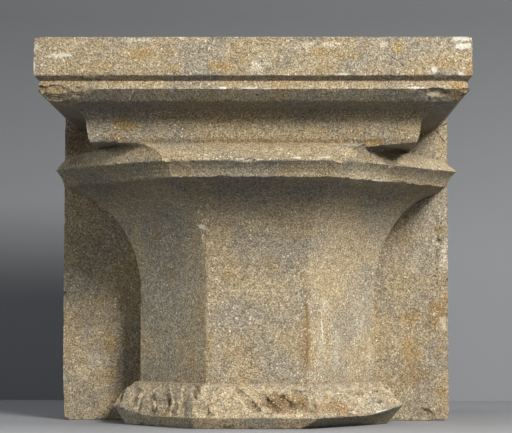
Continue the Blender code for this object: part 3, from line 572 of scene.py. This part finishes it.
bpy.context.scene.collection.objects.link(stone)
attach(stone, "root")
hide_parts("carved_stone")


# the sockets of a Mix node that mixes colours
MIX_SHARE = 0
MIX_UNDER = 6
MIX_OVER = 7
MIX_RESULT = 2

# how little a mark moves the place that it hands on, then the stone's shells and relief
MARK_STEP = 1e-10
SHELL_SIZE = 0.00095
RELIEF = 0.0008


def add_node(tree, kind, **values):
    """A new node with those values set."""
    node = tree.nodes.new(kind)
    for name, value in values.items():
        setattr(node, name, value)
    return node


def mark_group():
    """Lays one ragged oval mark over the colour so far."""
    group = bpy.data.node_groups.new("stone_mark", "ShaderNodeTree")
    sockets = group.interface
    for name, kind in (("Place", "NodeSocketVector"), ("Centre", "NodeSocketVector"),
                       ("Turn", "NodeSocketVector"), ("Half Size", "NodeSocketVector"),
                       ("Rag", "NodeSocketFloat"), ("Raggedness", "NodeSocketFloat"),
                       ("Core", "NodeSocketFloat"), ("Strength", "NodeSocketFloat"),
                       ("Under", "NodeSocketColor"), ("Tint", "NodeSocketColor")):
        sockets.new_socket(name=name, in_out="INPUT", socket_type=kind)
    sockets.new_socket(name="Colour", in_out="OUTPUT", socket_type="NodeSocketColor")
    sockets.new_socket(name="Place", in_out="OUTPUT", socket_type="NodeSocketVector")
    given = add_node(group, "NodeGroupInput")
    result = add_node(group, "NodeGroupOutput")
    laid = add_node(group, "ShaderNodeMapping", vector_type="TEXTURE")
    reach = add_node(group, "ShaderNodeVectorMath", operation="LENGTH")
    ragged = add_node(group, "ShaderNodeMath", operation="MULTIPLY_ADD")
    edge = add_node(group, "ShaderNodeMapRange", interpolation_type="SMOOTHSTEP")
    edge.inputs["To Min"].default_value = 0.0
    edge.inputs["From Min"].default_value = 1.0
    laid_over = add_node(group, "ShaderNodeMix", data_type="RGBA")
    # the marks are laid one after another: each hands its place on, moved by less than a nanometre
    hand_on = add_node(group, "ShaderNodeVectorMath", operation="MULTIPLY_ADD")
    hand_on.inputs[1].default_value = (MARK_STEP, MARK_STEP, MARK_STEP)
    link = group.links.new
    link(given.outputs["Place"], laid.inputs["Vector"])
    link(given.outputs["Centre"], laid.inputs["Location"])
    link(given.outputs["Turn"], laid.inputs["Rotation"])
    link(given.outputs["Half Size"], laid.inputs["Scale"])
    link(laid.outputs["Vector"], reach.inputs[0])
    link(given.outputs["Rag"], ragged.inputs[0])
    link(given.outputs["Raggedness"], ragged.inputs[1])
    link(reach.outputs["Value"], ragged.inputs[2])
    link(ragged.outputs["Value"], edge.inputs["Value"])
    link(given.outputs["Core"], edge.inputs["From Max"])
    link(given.outputs["Strength"], edge.inputs["To Max"])
    link(edge.outputs["Result"], laid_over.inputs[MIX_SHARE])
    link(given.outputs["Under"], laid_over.inputs[MIX_UNDER])
    link(given.outputs["Tint"], laid_over.inputs[MIX_OVER])
    link(laid_over.outputs[MIX_RESULT], result.inputs["Colour"])
    link(laid_over.outputs[MIX_RESULT], hand_on.inputs[0])
    link(given.outputs["Place"], hand_on.inputs[2])
    link(hand_on.outputs["Vector"], result.inputs["Place"])
    return group


def crisp_marks(tree, place, rag, colour):
    """The colour with the small and the hard edged marks laid over it one by one."""
    link = tree.links.new
    group = mark_group()
    crisp = itertools.filterfalse(is_soft, stone_marks)
    for tint, centre, half_size, turn, raggedness, softness, strength in crisp:
        mark = add_node(tree, "ShaderNodeGroup", node_tree=group)
        mark.inputs["Centre"].default_value = centre
        mark.inputs["Half Size"].default_value = half_size
        mark.inputs["Turn"].default_value = (0.0, -math.radians(turn), 0.0)
        mark.inputs["Raggedness"].default_value = raggedness
        mark.inputs["Core"].default_value = 1.0 - softness
        mark.inputs["Strength"].default_value = strength
        mark.inputs["Tint"].default_value = tint
        link(place, mark.inputs["Place"])
        link(rag, mark.inputs["Rag"])
        link(colour, mark.inputs["Under"])
        colour = mark.outputs["Colour"]
        place = mark.outputs["Place"]
    return colour


def limestone():
    """Coarse shelly grain, soft blotches, and the marks of this stone at their places."""
    material = bpy.data.materials.new("limestone")
    material.use_nodes = True
    tree = material.node_tree
    shader = tree.nodes["Principled BSDF"]
    shader.inputs["Roughness"].default_value = 0.93
    shader.inputs["Specular IOR Level"].default_value = 0.25
    link = tree.links.new
    place = add_node(tree, "ShaderNodeTexCoord").outputs["Object"]

    def cloud(size, detail, roughness=0.5):
        """Noise whose lumps are about that many metres across."""
        texture = add_node(tree, "ShaderNodeTexNoise")
        texture.inputs["Scale"].default_value = 1.0 / size
        texture.inputs["Detail"].default_value = detail
        texture.inputs["Roughness"].default_value = roughness
        link(place, texture.inputs["Vector"])
        return texture.outputs["Fac"]

    def spread(value, low, high, to_low=0.0, to_high=1.0):
        """The value eased from one range to another."""
        change = add_node(tree, "ShaderNodeMapRange", interpolation_type="SMOOTHSTEP")
        for name, number in (("From Min", low), ("From Max", high),
                             ("To Min", to_low), ("To Max", to_high)):
            change.inputs[name].default_value = number
        link(value, change.inputs["Value"])
        return change.outputs["Result"]

    def mixed(under, over, share, blend="MIX"):
        """One colour laid over another, by a share of it."""
        mix = add_node(tree, "ShaderNodeMix", data_type="RGBA", blend_type=blend)
        for index, value in ((MIX_UNDER, under), (MIX_OVER, over), (MIX_SHARE, share)):
            if isinstance(value, bpy.types.NodeSocket):
                link(value, mix.inputs[index])
            else:
                mix.inputs[index].default_value = value
        return mix.outputs[MIX_RESULT]

    def total(first, second, operation="ADD"):
        """The sum of two values, or their product."""
        add = add_node(tree, "ShaderNodeMath", operation=operation)
        for socket, value in zip(add.inputs, (first, second)):
            if isinstance(value, bpy.types.NodeSocket):
                link(value, socket)
            else:
                socket.default_value = value
        return add.outputs["Value"]

    # buff stone with drab blotches and rusty ones
    blotches = spread(cloud(0.060, 3.0), 0.40, 0.62)
    colour = mixed(BUFF, DRAB, blotches)
    rust = spread(cloud(0.038, 3.0, 0.6), 0.54, 0.74, 0.0, 0.50)
    colour = mixed(colour, OCHRE, rust)

    # paler stone where it broke, then the broad stains with their painted shade and light
    broken = add_node(tree, "ShaderNodeAttribute", attribute_name="broken").outputs["Fac"]
    fresh = total(broken, spread(cloud(0.009, 2.0), 0.35, 0.62, 0.1, 0.8), "MULTIPLY")
    colour = mixed(colour, FRESH, fresh)
    stains_and_painted_light = add_node(tree, "ShaderNodeAttribute", attribute_name="stains_and_painted_light").outputs["Vector"]
    stain_and_painted_light_cover = add_node(tree, "ShaderNodeAttribute", attribute_name="stain_and_painted_light_cover").outputs["Fac"]
    colour = mixed(mixed(colour, (0.0, 0.0, 0.0, 1.0), stain_and_painted_light_cover), stains_and_painted_light, 1.0, "ADD")

    # the shelly grain
    mottle = cloud(0.0070, 2.0)
    grain = cloud(0.0022, 2.0, 0.6)
    shells = add_node(tree, "ShaderNodeTexVoronoi")
    shells.inputs["Scale"].default_value = 1.0 / SHELL_SIZE
    link(place, shells.inputs["Vector"])
    shell = add_node(tree, "ShaderNodeSeparateColor")
    link(shells.outputs["Color"], shell.inputs["Color"])
    tone = total(spread(mottle, 0.30, 0.70, 0.90, 1.08), spread(grain, 0.34, 0.66, 0.78, 1.20), "MULTIPLY")
    tone = total(tone, spread(shell.outputs["Red"], 0.0, 1.0, 0.56, 1.40), "MULTIPLY")
    colour = mixed(colour, tone, 1.0, "MULTIPLY")

    # specks gather in drifts, and fewer of them show underneath
    under = add_node(tree, "ShaderNodeAttribute", attribute_name="under").outputs["Fac"]
    drifts = spread(cloud(0.020, 3.0, 0.6), 0.36, 0.62, 0.15, 1.0)
    gathered = total(drifts, spread(under, 0.0, 1.0, 1.0, 0.35), "MULTIPLY")

    def specks(cell, share, radius, tint, strength):
        """Small round specks of one tint in that share of the cells."""
        cells = add_node(tree, "ShaderNodeTexVoronoi")
        cells.inputs["Scale"].default_value = 1.0 / cell
        link(place, cells.inputs["Vector"])
        chance = add_node(tree, "ShaderNodeSeparateColor")
        link(cells.outputs["Color"], chance.inputs["Color"])
        chosen = spread(chance.outputs["Red"], 1.0 - share, 1.0 - 0.6 * share, 0.0, strength)
        chosen = total(chosen, gathered, "MULTIPLY")
        spot = spread(cells.outputs["Distance"], 0.6 * radius / cell, 1.2 * radius / cell, 1.0, 0.0)
        return mixed(colour, tint, total(chosen, spot, "MULTIPLY"))

    colour = specks(0.0020, 0.55, 0.00075, SHELL, 0.85)
    colour = specks(0.0038, 0.35, 0.00105, LIME, 0.95)
    colour = specks(0.0025, 0.45, 0.00080, PIT, 0.75)

    # the chips, pits, crusts, edged stains and the painted shadow under the ledge's arris lie over the
    # grain, and a little of it over them
    rag = spread(cloud(0.0040, 4.0, 0.75), 0.3, 0.7, -0.46, 0.46)
    colour = crisp_marks(tree, place, rag, colour)
    dusted = spread(shell.outputs["Blue"], 0.0, 1.0, 0.80, 1.08)
    colour = mixed(colour, dusted, 1.0, "MULTIPLY")

    # painted shade and dirt: darker underneath and near the inner creases
    colour = mixed(colour, UNDERSIDE_DIRT_AND_SHADE, under, "MULTIPLY")
    # painted shade with dirt near the inner creases
    crease = add_node(tree, "ShaderNodeAttribute", attribute_name="crease").outputs["Fac"]
    colour = mixed(colour, CREASE_DIRT_AND_SHADE, crease, "MULTIPLY")
    link(colour, shader.inputs["Base Color"])

    # the relief of the grain, rougher where the stone broke
    height = total(spread(grain, 0.25, 0.75), 0.45, "MULTIPLY")
    height = total(height, total(mottle, 0.8, "MULTIPLY"))
    flakes = spread(cloud(0.0032, 3.0, 0.6), 0.25, 0.75)
    rough_height = total(flakes, total(broken, 1.2, "MULTIPLY"), "MULTIPLY")
    height = total(height, rough_height)
    bump = add_node(tree, "ShaderNodeBump")
    bump.inputs["Strength"].default_value = 0.8
    bump.inputs["Distance"].default_value = RELIEF
    link(height, bump.inputs["Height"])
    link(bump.outputs["Normal"], shader.inputs["Normal"])
    return material


stone.data.materials.append(limestone())


# Floor and backdrop
# A pale grey floor that the stone stands on, and an upright sheet of grey paper behind it.
# Painted shade darkens the paper towards its top, as the lamps' light falls off, and the paper is clear
# from behind. Neither is part of the stone.

FLOOR_GREY = (0.290, 0.295, 0.310, 1.0)
PAPER_GREY = (0.270, 0.277, 0.292, 1.0)
# painted shade: the paper's tint at its top, where the lamps' light falls off
PAINTED_FALLOFF_GREY = (0.145, 0.150, 0.162, 1.0)
FLOOR_HALF_SIZE = (3.0, 0.60, 1.0)
FLOOR_PLACE = (0.0, -0.02, -0.0004)
PAPER_HALF_SIZE = 4.0
PAPER_PLACE = (0.0, 0.58, 0.0)
FALLOFF_FROM = 0.22
FALLOFF_FULL = 0.58


def plain_finish(name, colour):
    """A dull even coat of one colour."""
    finish = bpy.data.materials.new(name)
    finish.use_nodes = True
    shader = finish.node_tree.nodes["Principled BSDF"]
    shader.inputs["Base Color"].default_value = colour
    shader.inputs["Roughness"].default_value = 0.8
    return finish


def paper_with_painted_falloff(finish):
    """The same paper, with painted shade darkening it towards its top."""
    tree = finish.node_tree
    height = tree.nodes.new("ShaderNodeSeparateXYZ")
    shade = tree.nodes.new("ShaderNodeMapRange")
    tint = tree.nodes.new("ShaderNodeMix")
    tint.data_type = "RGBA"
    for name, value in (("From Min", FALLOFF_FROM), ("From Max", FALLOFF_FULL),
                        ("To Min", 0.0), ("To Max", 1.0)):
        shade.inputs[name].default_value = value
    colour = tree.nodes["Principled BSDF"].inputs["Base Color"]
    tint.inputs[MIX_UNDER].default_value = colour.default_value
    tint.inputs[MIX_OVER].default_value = PAINTED_FALLOFF_GREY
    tree.links.new(tree.nodes.new("ShaderNodeTexCoord").outputs["Object"], height.inputs[0])
    tree.links.new(height.outputs["Z"], shade.inputs["Value"])
    tree.links.new(shade.outputs["Result"], tint.inputs[MIX_SHARE])
    tree.links.new(tint.outputs[MIX_RESULT], colour)
    # from behind the paper is clear, so that the back of the stone can be looked at
    clear = tree.nodes.new("ShaderNodeBsdfTransparent")
    sided = tree.nodes.new("ShaderNodeMixShader")
    from_behind = tree.nodes.new("ShaderNodeNewGeometry").outputs["Backfacing"]
    tree.links.new(from_behind, sided.inputs[0])
    tree.links.new(tree.nodes["Principled BSDF"].outputs[0], sided.inputs[1])
    tree.links.new(clear.outputs[0], sided.inputs[2])
    tree.links.new(sided.outputs[0], tree.nodes["Material Output"].inputs["Surface"])
    return finish


floor_bm = bmesh.new()
bmesh.ops.create_grid(floor_bm, x_segments=1, y_segments=1, size=1.0)
bmesh.ops.scale(floor_bm, verts=floor_bm.verts, vec=FLOOR_HALF_SIZE)
bmesh.ops.translate(floor_bm, verts=floor_bm.verts, vec=FLOOR_PLACE)
floor_mesh = bpy.data.meshes.new("floor")
floor_bm.to_mesh(floor_mesh)
floor_bm.free()
floor = bpy.data.objects.new("floor", floor_mesh)
floor.data.materials.append(plain_finish("pale_floor", FLOOR_GREY))
bpy.context.scene.collection.objects.link(floor)

backdrop_bm = bmesh.new()
bmesh.ops.create_grid(backdrop_bm, x_segments=1, y_segments=1, size=PAPER_HALF_SIZE)
bmesh.ops.rotate(backdrop_bm, verts=backdrop_bm.verts,
                 matrix=Matrix.Rotation(math.radians(90.0), 3, "X"))
bmesh.ops.translate(backdrop_bm, verts=backdrop_bm.verts, vec=PAPER_PLACE)
backdrop_mesh = bpy.data.meshes.new("backdrop")
backdrop_bm.to_mesh(backdrop_mesh)
backdrop_bm.free()
backdrop = bpy.data.objects.new("backdrop", backdrop_mesh)
backdrop.data.materials.append(paper_with_painted_falloff(plain_finish("grey_backdrop", PAPER_GREY)))
bpy.context.scene.collection.objects.link(backdrop)


# Light
# A soft key from the upper right, a weaker lamp at the right side, one above and a low fill
# from the left. The side lamp and the fill have narrow beams aimed in front of the stone,
# which keeps them off the backdrop.

def soft_light(name, place, target, width, power, colour, beam=180.0):
    """A round soft lamp aimed at the target, its beam that many degrees wide."""
    lamp = bpy.data.lights.new(name, "AREA")
    lamp.shape = "DISK"
    lamp.size = width
    lamp.energy = power
    lamp.color = colour
    lamp.spread = math.radians(beam)
    stand = bpy.data.objects.new(name, lamp)
    stand.location = place
    stand.rotation_euler = (Vector(target) - Vector(place)).to_track_quat("-Z", "Y").to_euler()
    bpy.context.scene.collection.objects.link(stand)


soft_light("key", (1.08, -1.92, 1.41), (0.0, -0.05, 0.20), 0.80, 76.0, (1.0, 0.975, 0.93))
soft_light("side", (1.92, -0.67, 1.67), (0.15, -0.95, 0.20), 0.70, 8.2, (1.0, 0.985, 0.96), 64.0)
soft_light("top", (-0.35, -0.45, 2.60), (0.0, -0.05, 0.20), 0.80, 14.0, (0.95, 0.98, 1.0))
soft_light("fill", (-2.2, -0.75, 0.7), (-0.10, -0.70, 0.15), 1.2, 3.9, (0.88, 0.94, 1.0), 62.0)

world = bpy.data.worlds.new("studio")
world.use_nodes = True
world.node_tree.nodes["Background"].inputs["Color"].default_value = (0.74, 0.86, 1.0, 1.0)
world.node_tree.nodes["Background"].inputs["Strength"].default_value = 0.05
bpy.context.scene.world = world
bpy.context.scene.view_settings.view_transform = "Standard"


# Camera
# A long lens about two metres in front of the stone and a little below its ledge, turned
# slightly to the left, tilted up and rolled by less than a tenth of a degree.

PICTURE_WIDTH = 512.0
FOCAL_LENGTH_IN_PIXELS = 1650.0
SENSOR_WIDTH = 36.0
CAMERA_PLACE = (0.025416, -1.911746, 0.113401)
LEFT_TURN = 0.012744
UPWARD_TILT = 0.065292
ROLL = 0.00143

lens = bpy.data.cameras.new("camera")
lens.sensor_width = SENSOR_WIDTH
lens.lens = FOCAL_LENGTH_IN_PIXELS * SENSOR_WIDTH / PICTURE_WIDTH
lens.clip_start = 0.05
camera = bpy.data.objects.new("camera", lens)
camera.location = CAMERA_PLACE
aim = Matrix.Rotation(LEFT_TURN, 3, "Z") @ Matrix.Rotation(math.pi / 2 + UPWARD_TILT, 3, "X")
camera.rotation_euler = (aim @ Matrix.Rotation(ROLL, 3, "Z")).to_euler()
bpy.context.scene.collection.objects.link(camera)
bpy.context.scene.camera = camera
